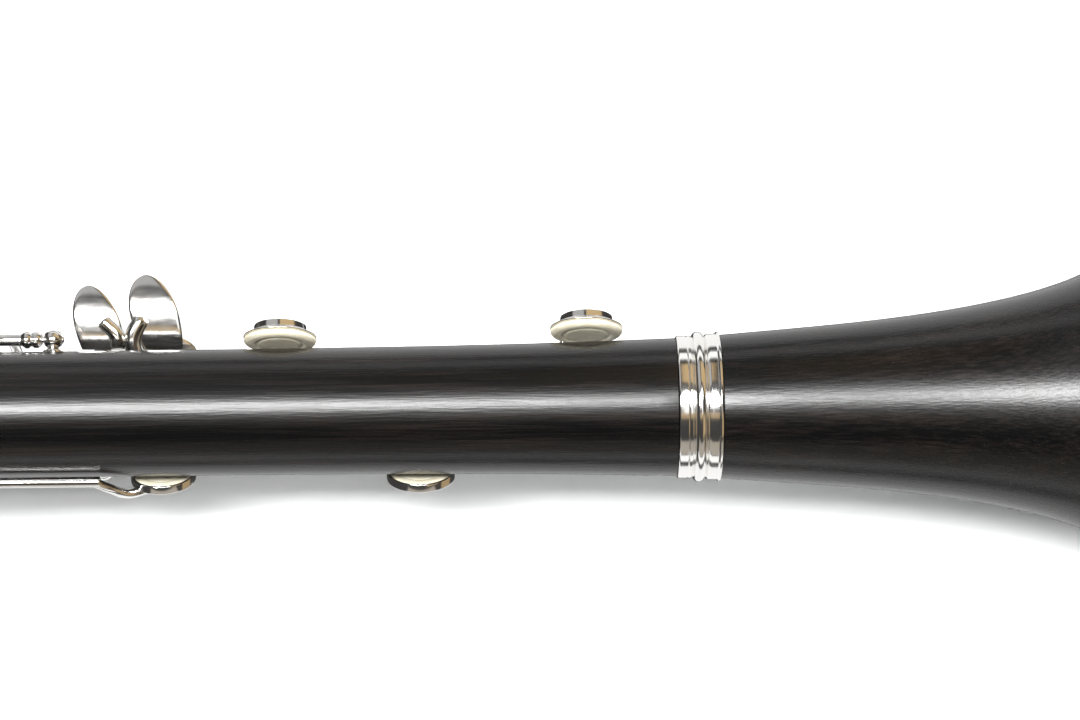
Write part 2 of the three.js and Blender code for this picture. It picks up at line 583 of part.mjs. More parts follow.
const LIGATURE_Z = 24;
const LIGATURE_SCREWS = [18, 30];
const SCREW_BACK = 15.3; // the ligature screws' line lies this far behind the axis
const upright = (radius, length, z) =>
  solid(new THREE.CylinderGeometry(radius, radius, length, 18).rotateX(Math.PI / 2).translate(0, 0, z));
const crosswise = (radius, length, x, z) => solid(
  new THREE.CylinderGeometry(radius, radius, length, 10).rotateZ(Math.PI / 2).translate(x, SCREW_BACK, z),
);
const band = upright(14.4, 20, LIGATURE_Z).subtract(upright(13.2, 24, LIGATURE_Z));
const lugs = LIGATURE_SCREWS.flatMap((z) => [-3, 3].map((x) => crosswise(1.8, 3, x, z)));
const drilled = LIGATURE_SCREWS.map((z) => crosswise(1.15, 14, 0, z));
piece(mouthpiece, "ligature", geometryOf(cut(join([band, ...lugs]), drilled)), silver);
LIGATURE_SCREWS.forEach((z, i) => {
  const screw = join([crosswise(0.8, 13, -1.5, z), crosswise(2.8, 3, -9.2, z)]);
  piece(mouthpiece, `ligature_screw_${i + 1}`, geometryOf(screw), silver);
});

export default model;
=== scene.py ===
"""A Boehm-system soprano clarinet, modelled finely round its CAD frame.

Lengths are in millimetres until MM turns them into metres. The bore is the Z axis. "phi" is a direction
round the bore in degrees from the front, -Y: plus is the player's left, +X, and minus the player's right.
"rho" is a distance from the bore's axis.
"""
import json
import math

import bmesh
import bpy
from mathutils import Matrix, Vector


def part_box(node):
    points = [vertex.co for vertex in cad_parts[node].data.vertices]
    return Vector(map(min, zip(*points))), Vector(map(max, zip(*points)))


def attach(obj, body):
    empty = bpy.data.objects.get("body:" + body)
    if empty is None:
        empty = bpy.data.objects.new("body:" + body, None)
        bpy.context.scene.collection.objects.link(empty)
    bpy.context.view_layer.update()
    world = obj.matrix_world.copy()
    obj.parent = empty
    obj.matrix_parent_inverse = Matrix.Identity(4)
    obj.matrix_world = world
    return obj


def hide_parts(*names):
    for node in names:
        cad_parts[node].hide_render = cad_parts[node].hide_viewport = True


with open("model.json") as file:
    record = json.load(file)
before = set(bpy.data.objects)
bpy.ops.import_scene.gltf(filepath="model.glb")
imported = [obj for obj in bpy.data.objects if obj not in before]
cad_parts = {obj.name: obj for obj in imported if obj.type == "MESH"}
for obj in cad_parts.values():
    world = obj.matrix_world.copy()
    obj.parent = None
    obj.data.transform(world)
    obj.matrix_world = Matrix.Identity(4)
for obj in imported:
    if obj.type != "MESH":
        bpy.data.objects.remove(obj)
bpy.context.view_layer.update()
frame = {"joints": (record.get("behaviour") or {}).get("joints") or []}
MM = 0.001

# ---- driving dimensions ----
GAP = 0.3
BALL = 2.4  # post head
POST_REACH = 3.0  # from a hinge tube's end to its post
TUBE = 1.4
BORE = 7.4
TENON = 11.2
CHIMNEY = 15.4  # top of a finger hole's raised edge
RING_SPACE = 16.5  # height of a finger ring over the bore
RING_OUTER = 7.4
RING_INNER = 5.9
RING_HALF = 0.7  # half the thickness of a finger ring
UPPER_HINGE = 17.8  # distance of the upper joint's hinge lines from the bore
ROD = 0.75  # radius of the steel rod inside a hinge tube
AXIS = 0.02  # radius at which a turned profile starts and ends on its own line
BELL_LENGTH = 96.8
RIM_BAND = 3.2
UPPER_RADIUS = 14.1
ROUND = 96  # sides of a fine turning
FINEST = 192  # sides of the largest turnings
CREASE = 38  # edges sharper than this many degrees are shaded sharp


def node_top(node):
    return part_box(node)[1].z / MM


def node_foot(node):
    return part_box(node)[0].z / MM


LOWER_Z = node_top("bell_socket_ring") + GAP
UPPER_Z = node_top("lower_socket_ring")
BARREL_Z = node_foot("barrel_lower_ring") - GAP
MOUTHPIECE_Z = node_top("barrel_upper_ring") + GAP
BARREL_LENGTH = MOUTHPIECE_Z - BARREL_Z
TIP_Z = node_top("mouthpiece")
LOWER_LENGTH = UPPER_Z - LOWER_Z


def bell_radius(down):
    return 16.7 + 0.075 * down + 5 * (down / 80) ** 3.5 + 5 * (down / 96.8) ** 14


def lower_radius(z):
    return 14.6 + 1.45 * math.exp(-((max(z, 0) / 38) ** 1.1))


# ---- materials ----
def shader(name, color, roughness, metallic=0.0):
    material = bpy.data.materials.new(name)
    material.use_nodes = True
    principled = material.node_tree.nodes["Principled BSDF"]
    principled.inputs["Base Color"].default_value = (*color, 1)
    principled.inputs["Roughness"].default_value = roughness
    principled.inputs["Metallic"].default_value = metallic
    return material, principled


def noise(tree, scale, stretch=(1, 1, 1), detail=4):
    nodes, links = tree.nodes, tree.links
    place_node = nodes.new("ShaderNodeTexCoord")
    mapping = nodes.new("ShaderNodeMapping")
    mapping.inputs["Scale"].default_value = stretch
    texture = nodes.new("ShaderNodeTexNoise")
    texture.inputs["Scale"].default_value = scale
    texture.inputs["Detail"].default_value = detail
    links.new(place_node.outputs["Object"], mapping.inputs["Vector"])
    links.new(mapping.outputs["Vector"], texture.inputs["Vector"])
    return texture


def ramp(tree, source, stops):
    node = tree.nodes.new("ShaderNodeValToRGB")
    elements = node.color_ramp.elements
    while len(elements) < len(stops):
        elements.new(0.5)
    for element, (position, color) in zip(elements, stops):
        element.position = position
        element.color = (*color, 1)
    tree.links.new(source, node.inputs["Fac"])
    return node


def bump(tree, principled, source, strength, distance):
    node = tree.nodes.new("ShaderNodeBump")
    node.inputs["Strength"].default_value = strength
    node.inputs["Distance"].default_value = distance
    tree.links.new(source, node.inputs["Height"])
    tree.links.new(node.outputs["Normal"], principled.inputs["Normal"])


def spread(tree, source, low, high):
    """Maps a texture's 0 to 1 on to a range."""
    node = tree.nodes.new("ShaderNodeMapRange")
    node.inputs["To Min"].default_value = low
    node.inputs["To Max"].default_value = high
    tree.links.new(source, node.inputs["Value"])
    return node.outputs["Result"]


def mixed(tree, first, second):
    """The mean of two textures."""
    node = tree.nodes.new("ShaderNodeMath")
    node.operation = "ADD"
    tree.links.new(spread(tree, first, 0, 0.5), node.inputs[0])
    tree.links.new(spread(tree, second, 0, 0.5), node.inputs[1])
    return node.outputs["Value"]


def wood_material(name, dark, brown, roughness):
    """Near-black wood with fine brown streaks and pores that run along the bore."""
    material, principled = shader(name, dark, roughness)
    tree = material.node_tree
    streaks = noise(tree, 1900, (1, 1, 0.02), 6).outputs["Fac"]
    figure = noise(tree, 260, (1, 1, 0.05), 3).outputs["Fac"]
    grain = mixed(tree, streaks, figure)
    colors = ramp(tree, grain, [(0.46, dark), (0.60, brown), (0.68, tuple(2 * c for c in brown))])
    tree.links.new(colors.outputs["Color"], principled.inputs["Base Color"])
    tree.links.new(spread(tree, streaks, roughness - 0.07, roughness + 0.07), principled.inputs["Roughness"])
    pores = noise(tree, 2600, (1, 1, 0.05), 3)
    bump(tree, principled, pores.outputs["Fac"], 0.16, 0.0002)
    return material


def leather_material():
    material, principled = shader("pad_leather", (0.78, 0.72, 0.55), 0.72)
    tree = material.node_tree
    mottle = noise(tree, 380, detail=5)
    colors = ramp(tree, mottle.outputs["Fac"], [(0.3, (0.70, 0.64, 0.47)), (0.7, (0.83, 0.78, 0.62))])
    tree.links.new(colors.outputs["Color"], principled.inputs["Base Color"])
    bump(tree, principled, noise(tree, 1500, detail=3).outputs["Fac"], 0.25, 0.0001)
    return material


def metal_material(name, color, roughness):
    """Polished plate with a faint warm bloom and hairline polishing marks."""
    material, principled = shader(name, color, roughness, 1.0)
    tree = material.node_tree
    bloom = noise(tree, 90, detail=3).outputs["Fac"]
    warm = (color[0] * 0.97, color[1] * 0.95, color[2] * 0.90)
    colors = ramp(tree, bloom, [(0.45, color), (0.75, warm)])
    tree.links.new(colors.outputs["Color"], principled.inputs["Base Color"])
    polish = noise(tree, 1400, (1, 1, 0.2), 2).outputs["Fac"]
    tree.links.new(spread(tree, polish, roughness * 0.7, roughness * 1.5), principled.inputs["Roughness"])
    return material


def ebonite_material():
    material, principled = shader("ebonite", (0.012, 0.012, 0.013), 0.12)
    tree = material.node_tree
    rubbed = noise(tree, 300, detail=4).outputs["Fac"]
    tree.links.new(spread(tree, rubbed, 0.08, 0.20), principled.inputs["Roughness"])
    return material


def cork_material():
    material, principled = shader("cork", (0.55, 0.36, 0.18), 0.9)
    tree = material.node_tree
    specks = noise(tree, 600, detail=6)
    colors = ramp(tree, specks.outputs["Fac"], [(0.4, (0.25, 0.13, 0.06)), (0.55, (0.58, 0.39, 0.21))])
    tree.links.new(colors.outputs["Color"], principled.inputs["Base Color"])
    return material


def cane_material():
    material, principled = shader("cane", (0.76, 0.62, 0.32), 0.55)
    tree = material.node_tree
    fibres = noise(tree, 900, (1, 1, 0.02), 4)
    colors = ramp(tree, fibres.outputs["Fac"], [(0.35, (0.66, 0.50, 0.23)), (0.65, (0.82, 0.70, 0.42))])
    tree.links.new(colors.outputs["Color"], principled.inputs["Base Color"])
    return material


MATERIALS = {
    "grenadilla": wood_material("grenadilla", (0.0012, 0.0013, 0.0015), (0.006, 0.0042, 0.0036), 0.27),
    "silver_plate": metal_material("silver_plate", (0.90, 0.89, 0.87), 0.13),
    "steel": metal_material("steel", (0.80, 0.79, 0.77), 0.12),
    "pad_leather": leather_material(),
    "cork": cork_material(),
    "ebonite": ebonite_material(),
    "cane": cane_material(),
}


# ---- skins: lists of points in millimetres, and faces ----
def outward(phi):
    return Vector((math.sin(math.radians(phi)), -math.cos(math.radians(phi)), 0))


def at(phi, rho, z):
    return outward(phi) * rho + Vector((0, 0, z))


def loft(rings, wrap=False):
    """A skin over rings of points. Its ends are capped, or with wrap the last ring meets the first."""
    count = len(rings[0])
    spans = len(rings) if wrap else len(rings) - 1
    faces = []
    for ring in range(spans):
        near, far = ring * count, ((ring + 1) % len(rings)) * count
        for side in range(count):
            after = (side + 1) % count
            faces.append((near + side, near + after, far + after, far + side))
    if not wrap:
        last = (len(rings) - 1) * count
        faces.append(tuple(reversed(range(count))))
        faces.append(tuple(range(last, last + count)))
    return [point for ring in rings for point in ring], faces


def rounded(profile, radius, closed=False, steps=4):
    """The profile with its corners rounded. The first and last corner of an open one stay sharp."""
    corners = [Vector(p) for p in profile]
    out = []
    for i, corner in enumerate(corners):
        if not closed and i in (0, len(corners) - 1):
            out.append(corner)
            continue
        before, after = corners[i - 1], corners[(i + 1) % len(corners)]
        back, on = before - corner, after - corner
        start = corner + back.normalized() * min(radius, 0.45 * back.length)
        end = corner + on.normalized() * min(radius, 0.45 * on.length)
        for step in range(steps + 1):
            t = step / steps
            out.append(start * (1 - t) ** 2 + corner * (2 * t * (1 - t)) + end * t**2)
    return out


def turned(profile, radius=0.25, sides=ROUND, closed=True, z=0.0):
    """A profile of (distance from the bore, height) corners turned about the bore."""
    rings = []
    for r, h in rounded(profile, radius, closed):
        turns = [2 * math.pi * side / sides for side in range(sides)]
        rings.append([Vector((r * math.cos(t), r * math.sin(t), h + z)) for t in turns])
    return loft(rings, wrap=closed)


def radial(profile, phi, z, radius=0.25, sides=64, closed=False):
    """A profile of (radius, distance from the bore) corners turned about a line that points outward at phi."""
    out, up = outward(phi), Vector((0, 0, 1))
    side_way = up.cross(out)
    rings = []
    for r, h in rounded(profile, radius, closed):
        ring = []
        for side in range(sides):
            turn = 2 * math.pi * side / sides
            ring.append(out * h + Vector((0, 0, z)) + (up * math.cos(turn) + side_way * math.sin(turn)) * r)
        rings.append(ring)
    return loft(rings, wrap=closed)


def rod_between(start, end, radius, edge=0.3, sides=32):
    """A round bar with softened ends."""
    along = (end - start).normalized()
    across = along.orthogonal().normalized()
    over = along.cross(across)
    length = (end - start).length
    rings = []
    profile = [(AXIS, 0), (radius, 0), (radius, length), (AXIS, length)]
    for r, h in rounded(profile, edge):
        turns = [2 * math.pi * side / sides for side in range(sides)]
        rings.append([start + along * h + (across * math.cos(t) + over * math.sin(t)) * r for t in turns])
    return loft(rings)


def spline(stops, steps):
    """Points and tangents on a Catmull-Rom curve through the stops."""
    points = [stops[0] * 2 - stops[1], *stops, stops[-1] * 2 - stops[-2]]
    out = []
    spans = len(stops) - 1
    for step in range(steps + 1):
        place = min(step / steps * spans, spans - 1e-6)
        i = int(place)
        t = place - i
        a, b, c, d = points[i : i + 4]
        first, second, third = c - a, 2 * a - 5 * b + 4 * c - d, 3 * b - a - 3 * c + d
        point = 0.5 * (2 * b + first * t + second * t**2 + third * t**3)
        slope = 0.5 * (first + second * 2 * t + third * 3 * t**2)
        out.append((point, slope.normalized()))
    return out


def arm_through(stops, width=2.6, thickness=1.8, end_width=None, steps=26, sides=16):
    """A bent key arm of oval section with round ends, wide across its path and thin along the radius."""
    rings = []
    end_width = end_width or width
    for i, (point, along) in enumerate(spline(stops, steps)):
        share = i / steps
        out = Vector((point.x, point.y, 0)).normalized()
        across = along.cross(out).normalized()
        proud = across.cross(along).normalized()
        near_end = min(share, 1 - share) * 12
        close = math.sqrt(max(0.01, 1 - (1 - min(1, near_end)) ** 2))
        half = 0.5 * (width + (end_width - width) * share) * close
        deep = 0.5 * thickness * close
        turns = [2 * math.pi * side / sides for side in range(sides)]
        rings.append([point + across * (half * math.cos(t)) + proud * (deep * math.sin(t)) for t in turns])
    return loft(rings)


def arm(stops, width=2.6, thickness=1.8, end_width=None):
    return arm_through([at(*stop) for stop in stops], width, thickness, end_width)


def oval(phi, rho, z, along, across, thickness=1.3, dish=0.5):
    """A dished oval touch with a soft edge."""
    out, up = outward(phi), Vector((0, 0, 1))
    side_way = up.cross(out)
    profile = [
        (0.03, -0.5), (0.93, -0.5), (1.0, -0.15), (1.0, 0.15), (0.93, 0.5),
        (0.5, 0.5 - dish * 0.3), (0.03, 0.5 - dish * 0.45),
    ]
    rings = []
    for share, level in profile:
        ring = []
        for side in range(48):
            turn = 2 * math.pi * side / 48
            flat = up * (math.cos(turn) * along * share) + side_way * (math.sin(turn) * across * share)
            ring.append(out * (rho + thickness * level) + Vector((0, 0, z)) + flat)
        rings.append(ring)
    return loft(rings)


def finger_ring(phi, z):
    low, high = RING_SPACE - RING_HALF, RING_SPACE + RING_HALF
    corners = [(RING_INNER, low), (RING_OUTER, low), (RING_OUTER, high), (RING_INNER, high)]
    return radial(corners, phi, z, 0.5, 56, closed=True)


# ---- pieces ----
def piece(name, skins, slot, body, *nodes):
    """A mesh made of skins, with its material, the body it rides on and the CAD nodes it stands for."""
    verts, faces = [], []
    for skin_verts, skin_faces in skins:
        base = len(verts)
        verts.extend(v * MM for v in skin_verts)
        faces.extend(tuple(base + i for i in face) for face in skin_faces)
    mesh = bpy.data.meshes.new(name)
    mesh.from_pydata([tuple(v) for v in verts], [], faces)
    mesh.validate()
    made = bpy.data.objects.new(name, mesh)
    bpy.context.scene.collection.objects.link(made)
    tidy_normals(made)
    mesh.polygons.foreach_set("use_smooth", [True] * len(mesh.polygons))
    mesh.set_sharp_from_angle(angle=math.radians(CREASE))
    mesh.materials.append(MATERIALS[slot])
    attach(made, body)
    if nodes:
        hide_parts(*nodes)
    return made


def tidy_normals(made):
    work = bmesh.new()
    work.from_mesh(made.data)
    bmesh.ops.recalc_face_normals(work, faces=work.faces)
    work.to_mesh(made.data)
    work.free()


def hinge(joint_name):
    """A hinge line's direction round the bore and its distance from it."""
    joint = next(j for j in frame["joints"] if j["name"] == joint_name)
    x, y = joint["pos_m"][0] / MM, joint["pos_m"][1] / MM
    return math.degrees(math.atan2(x, -y)), math.hypot(x, y)


def tube(line, start, end, radius=TUBE):
    phi, rho = line
    return rod_between(at(phi, rho, start), at(phi, rho, end), radius, 0.15)


def turned_along(line, profile, z=0.0, sides=40):
    """A profile of (radius, height) corners turned about a hinge line."""
    middle = at(*line, 0)
    verts, faces = turned(profile, 0.15, sides, closed=False, z=z)
    return [v + middle for v in verts], faces


def post(phi, rho, z, foot):
    """A turned post: base, waisted stem and ball."""
    profile = [
        (AXIS, foot - 0.6), (2.3, foot - 0.6), (2.3, foot + 0.45), (1.5, foot + 0.8),
        (1.05, (foot + rho) / 2 - 0.2), (1.35, rho - 2.0),
    ]
    ball = []
    for step in range(13):
        turn = math.radians(-55 + 145 * step / 12)
        ball.append((max(AXIS, BALL * math.cos(turn)), rho + BALL * math.sin(turn)))
    return radial(profile + ball, phi, z, 0.2, 40)


def rod_with_posts(name, line, start, end, foot_at, body="body"):
    phi, rho = line
    low, high = start - POST_REACH, end + POST_REACH
    skins = [rod_between(at(phi, rho, low), at(phi, rho, high), ROD)]
    skins += [post(phi, rho, z, foot_at(z)) for z in (low, high)]
    skins += [screw_head(phi, rho, low, -1), screw_head(phi, rho, high, 1)]
    piece("turned_" + name, skins, "silver_plate", body, name)


def screw_head(phi, rho, z, way):
    """The rod's end, standing a little out of its post."""
    return rod_between(at(phi, rho, z + way * 1.5), at(phi, rho, z + way * (BALL + 0.05)), 0.8, 0.15)


def cross_rod(name, z, front, foot):
    """Posts either side of a hinge line that runs round the bore."""
    skins = []
    rho = UPPER_HINGE
    side_way = Vector((0, 0, 1)).cross(outward(front))
    ends = []
    for side in (-6, 6):
        turn = math.degrees(math.atan2(side, rho))
        skins.append(post(front + turn, math.hypot(rho, side), z, foot))
        ends.append(at(front, rho, z) + side_way * side)
    skins.append(rod_between(ends[0], ends[1], ROD))
    piece("turned_" + name, skins, "silver_plate", "body", name)


# ---- cups and pads ----
def stepped_cup(phi, z, face, radius):
    """A wide skirt over the pad, stepping in to a drum-shaped crown."""
    skirt = face + 1.65
    return radial([
        (AXIS, skirt), (radius, skirt), (radius, skirt + 0.35), (radius * 0.9, skirt + 0.75),
        (radius * 0.73, skirt + 1.3), (radius * 0.71, face + 4.7), (radius * 0.6, face + 4.8),
        (AXIS, face + 4.8),
    ], phi, z, 0.3, ROUND)


def puffed_pad(phi, z, face, radius):
    """A leather pad that bulges out of its cup, pressed in where it meets the tone hole's rim."""
    dent = radius * 0.62
    return radial([
        (AXIS, face + 0.05), (dent - 0.7, face + 0.02), (dent, face + 0.28), (dent + 0.7, face),
        (radius - 1.1, face + 0.1), (radius - 0.25, face + 0.6), (radius - 0.1, face + 1.1),
        (radius - 0.4, face + 1.6), (AXIS, face + 1.6),
    ], phi, z, 0.45, ROUND)


def straight_cup(phi, z, face, radius):
    """A cup whose thin wall stands level with its pad."""
    return radial([
        (AXIS, face + 1.5), (radius - 0.55, face + 1.5), (radius - 0.5, face - 0.05), (radius, face),
        (radius, face + 2), (radius * 0.6, face + 2.8), (AXIS, face + 2.9),
    ], phi, z, 0.22, ROUND)


def flush_pad(phi, z, face, radius):
    edge = radius - 0.75
    return radial([
        (AXIS, face + 0.05), (edge - 2.6, face), (edge - 2.1, face + 0.16), (edge - 1.5, face - 0.02),
        (edge - 0.4, face + 0.1), (edge, face + 0.5), (edge, face + 1.4), (AXIS, face + 1.4),
    ], phi, z, 0.35, ROUND)


def small_cup(phi, z, face, radius):
    return radial([
        (AXIS, face + 0.7), (radius - 0.1, face + 0.7), (radius, face + 1.9),
        (radius * 0.62, face + 3.1), (AXIS, face + 3.2),
    ], phi, z, 0.3, 48)


def small_pad(name, body, phi, z, face, radius):
    piece(name + "_pad", [radial([
        (AXIS, face), (radius - 0.7, face), (radius - 0.15, face + 0.5), (radius - 0.2, face + 1.2),
        (AXIS, face + 1.2),
    ], phi, z, 0.3, 48)], "pad_leather", body)


# ---- little-finger leaves ----
LEAF_BEND = 26
LEAF_THICK = 1.0


def leaf(apex, root, tip, widest, z, lean, half_width, rows=44, sides=28):
    """A leaf on the player's right, arched over a line parallel to the bore at "apex".

    The apex is given as its distances to the right and to the front.
    """
    right, front = apex
    rings = []
    for row in range(rows + 1):
        out = root + (tip - root) * math.sin(math.radians(89.5 * row / rows))
        beyond = (out - widest) / (tip - widest) if out > widest else (widest - out) / 14
        half = max(0.35, half_width * math.sqrt(max(0, 1 - beyond**2)))
        middle = z + lean * (out - root)
        angle = math.asin((out - right) / LEAF_BEND)
        ring = []
        for side in range(sides):
            turn = 2 * math.pi * side / sides
            flat, deep = math.cos(turn), math.sin(turn)
            height = middle + half * math.copysign(abs(flat) ** 0.35, flat)
            radius = LEAF_BEND - LEAF_THICK / 2 * (1 - math.copysign(abs(deep) ** 0.6, deep))
            x = -(right + radius * math.sin(angle))
            y = radius * math.cos(angle) - LEAF_BEND - front
            ring.append(Vector((x, y, height)))
        rings.append(ring)
    return loft(rings)


# ---- the instrument ----
LOW_E = dict(phi=-73, z=LOWER_Z + 20.4, face=17.6, radius=8.6)
LOW_F = dict(phi=66, z=LOWER_Z + 59.7, face=15.5, radius=8)
LOW_F_SHARP = dict(phi=-73, z=LOWER_Z + 92.3, face=16.2, radius=8.6)
LEFT_SIDE = dict(phi=64, z=LOWER_Z + 120.3, face=15.5, radius=7.6)
LOWER_RINGS = [LOWER_Z + height for height in (155, 181, 204)]
UPPER_RINGS = [UPPER_Z + height for height in (35, 58)]
FIRST_RING = UPPER_Z + 84
THUMB_HOLE = UPPER_Z + 92


def bored(made, cutters):
    """Cuts holes in a turned body. Each cutter is a skin."""
    for index, (verts, faces) in enumerate(cutters):
        mesh = bpy.data.meshes.new("cutter")
        mesh.from_pydata([tuple(v * MM) for v in verts], [], faces)
        tool = bpy.data.objects.new(f"cutter_{index}", mesh)
        bpy.context.scene.collection.objects.link(tool)
        tidy_normals(tool)
        cut = made.modifiers.new("cut", "BOOLEAN")
        cut.operation = "DIFFERENCE"
        cut.solver = "EXACT"
        cut.object = tool
        bpy.context.view_layer.update()
        result = bpy.data.meshes.new_from_object(made.evaluated_get(bpy.context.evaluated_depsgraph_get()))
        made.modifiers.clear()
        made.data = result
        bpy.data.objects.remove(tool)
    made.data.polygons.foreach_set("use_smooth", [True] * len(made.data.polygons))
    made.data.set_sharp_from_angle(angle=math.radians(CREASE))


def hole(phi, z, radius, floor=9):
    return radial([(AXIS, floor), (radius, floor), (radius, 24), (AXIS, 24)], phi, z, 0.01, 48)


def seat(phi, z, radius, height):
    """A counterbore with a raised rim in its middle for the pad to meet."""
    rim = radius * 0.62 + 0.7
    return radial([
        (AXIS, height), (rim, height), (rim + 0.6, height - 0.6), (radius + 0.5, height - 0.6),
        (radius + 0.5, 26), (AXIS, 26),
    ], phi, z, 0.15, 72)


def make_bell():
    rows = 40
    outside = []
    for row in range(rows + 1):
        down = (BELL_LENGTH - RIM_BAND - GAP) * math.sqrt(1 - row / rows)
        outside.append((bell_radius(down), BELL_LENGTH - down))
    foot = LOWER_Z - 18
    inside = [(11, foot), (11.6, 78), (13.3, 56), (16.6, 36), (21.6, 18), (26.5, 7), (31.5, 0)]
    wall = [(34.5, 0), (34.5, RIM_BAND + GAP), *outside, (14.6, BELL_LENGTH), (14.6, LOWER_Z - 1.2),
            (12.4, LOWER_Z - 1.2), (12.4, foot), *inside]
    piece("turned_bell", [turned(wall, 0.2, FINEST)], "grenadilla", "body", "bell")
    band = [(34.8, 0), (38.9, 0), (39.5, 0.7), (39.45, 1.6), (38.6, 2.6), (37.0, RIM_BAND), (34.8, RIM_BAND)]
    piece("bell_band", [turned(band, 0.5, FINEST)], "silver_plate", "body", "bell_rim_ring")


def make_socket_ring():
    """Band, groove, bead, groove and band, with a scribed line round the joint's side."""
    low, top = BELL_LENGTH + 0.15, LOWER_Z - 0.15
    bead = []
    for step in range(13):
        turn = math.radians(-78 + 156 * step / 12)
        bead.append((16.3 + 1.2 * math.cos(turn), top - 5.0 + 1.35 * math.sin(turn)))
    profile = [
        (14.9, low), (17.35, low), (17.45, low + 0.5), (17.0, low + 0.9), (16.95, low + 2.6),
        (16.8, low + 3.15), (16.35, low + 3.4), *bead, (16.3, top - 3.4), (16.6, top - 3.15),
        (16.6, top - 2.45), (16.45, top - 2.3), (16.6, top - 2.15), (16.55, top - 0.3), (16.4, top),
        (14.9, top),
    ]
    piece("beaded_ring", [turned(profile, 0.12, FINEST)], "silver_plate", "body", "bell_socket_ring")


def make_lower_joint():
    outside = [(lower_radius(z), z) for z in range(0, 120, 4)]
    profile = [
        (TENON, -17), (TENON, -0.6), *outside, (14.5, LOWER_LENGTH - 6), (13.9, LOWER_LENGTH - 6),
        (13.9, LOWER_LENGTH), (12.6, LOWER_LENGTH), (12.6, LOWER_LENGTH - 18), (BORE, LOWER_LENGTH - 18),
        (BORE, 60), (10.4, -17),
    ]
    made = piece(
        "turned_lower_joint", [turned(profile, 0.1, FINEST, z=LOWER_Z)], "grenadilla", "body", "lower_joint")
    seats = [(LOW_E, 15.2), (LOW_F, 13.6), (LOW_F_SHARP, 14.1), (LEFT_SIDE, 13.6)]
    cutters = [seat(cup["phi"], cup["z"], cup["radius"], height) for cup, height in seats]
    cutters += [hole(cup["phi"], cup["z"], cup["radius"] * 0.55) for cup, height in seats]
    cutters += [hole(0, z, 3.8) for z in LOWER_RINGS]
    bored(made, cutters)
    for index, z in enumerate(LOWER_RINGS):
        piece(f"lower_chimney_{index + 1}", [chimney_tube(0, z)], "grenadilla", "body")
    cork = [(TENON + GAP, -15), (TENON + 0.65, -14.6), (TENON + 0.65, -3.4), (TENON + GAP, -3)]
    piece("tenon_cork", [turned(cork, 0.2, z=LOWER_Z)], "cork", "body", "lower_tenon_cork")
    ring = [(14.2, -5.7), (15.1, -5.7), (15.4, -5), (15.4, -1), (15.1, 0), (14.2, 0)]
    piece("socket_band", [turned(ring, 0.25, z=UPPER_Z)], "silver_plate", "body", "lower_socket_ring")


def chimney_tube(phi, z):
    corners = [(3.8, 12.4), (5.2, 12.4), (5.1, CHIMNEY), (3.8, CHIMNEY)]
    return radial(corners, phi, z, 0.35, 56, closed=True)


def lower_foot(z):
    return lower_radius(z - LOWER_Z)


def lower(*stops):
    """Stops of (phi, rho, height over the lower joint's foot) in the part's own frame."""
    return [(phi, rho, z + LOWER_Z) for phi, rho, z in stops]


def upper(*stops):
    return [(phi, rho, z + UPPER_Z) for phi, rho, z in stops]


def bent(*stops):
    return [Vector((x, y, z + LOWER_Z)) for x, y, z in stops]


def make_low_e():
    line = hinge("low_e_turn")
    phi, rho = line
    skins = [
        tube(line, LOWER_Z + 24, LOWER_Z + 130),
        stepped_cup(**LOW_E),
        arm(lower((phi, rho, 27), (-46, 21.6, 25), (-58, 23.4, 22), (-72, 22.4, 21)), 3, 2),
        leaf((22.7, 13.5), 14.8, 32.8, 23, LOWER_Z + 121.2, 0.22, 5.8),
        arm_through(
            bent((-11, -14, 126.4), (-15.2, -13.2, 128), (-18.4, -12.8, 127.9), (-22.6, -13, 125.6)), 3.9, 3.6),
        arm(lower((phi, rho, 122), (-18, 21.2, 126), (0, 22.6, 127))),
    ]
    piece("low_e_lever_work", skins, "silver_plate", "low_e_key", "low_e_key")
    piece("low_e_leather", [puffed_pad(**LOW_E)], "pad_leather", "low_e_key", "low_e_pad")
    rod_with_posts("low_e_rod", line, LOWER_Z + 24, LOWER_Z + 130, lower_foot)


def make_low_f():
    line = hinge("low_f_lever_turn")
    phi, rho = line
    skins = [
        tube(line, LOWER_Z + 131, LOWER_Z + 141),
        leaf((21, 13.5), 15, 30.4, 20, LOWER_Z + 135.2, 0.235, 5.6),
        arm_through(bent((-4.3, -17.3, 136), (-10, -18.3, 136), (-15.8, -15, 135.6)), 4, 2.6),
        arm_through(bent((-15.2, -13.4, 131.8), (-18.4, -12.8, 131.9), (-22.1, -12.9, 135.3)), 3.9, 3.6),
        arm(lower((phi, rho, 135), (0, 18.6, 135.5), (9, 18.2, 136))),
    ]
    piece("low_f_lever_work", skins, "silver_plate", "low_f_lever", "low_f_lever")
    rod_with_posts("low_f_lever_rod", line, LOWER_Z + 131, LOWER_Z + 141, lower_foot)
    line = hinge("low_f_turn")
    phi, rho = line
    skins = [
        tube(line, LOWER_Z + 62, LOWER_Z + 137),
        straight_cup(**LOW_F),
        arm(lower((phi, rho, 64), (42, 19.4, 62), (60, 18.3, 60)), 3, 2),
        arm(lower((phi, rho, 135), (16, 20.6, 136), (7, 20.9, 136))),
    ]
    piece("low_f_cup_work", skins, "silver_plate", "low_f_key", "low_f_key")
    piece("low_f_leather", [flush_pad(**LOW_F)], "pad_leather", "low_f_key", "low_f_pad")
    rod_with_posts("low_f_rod", line, LOWER_Z + 62, LOWER_Z + 137, lower_foot)


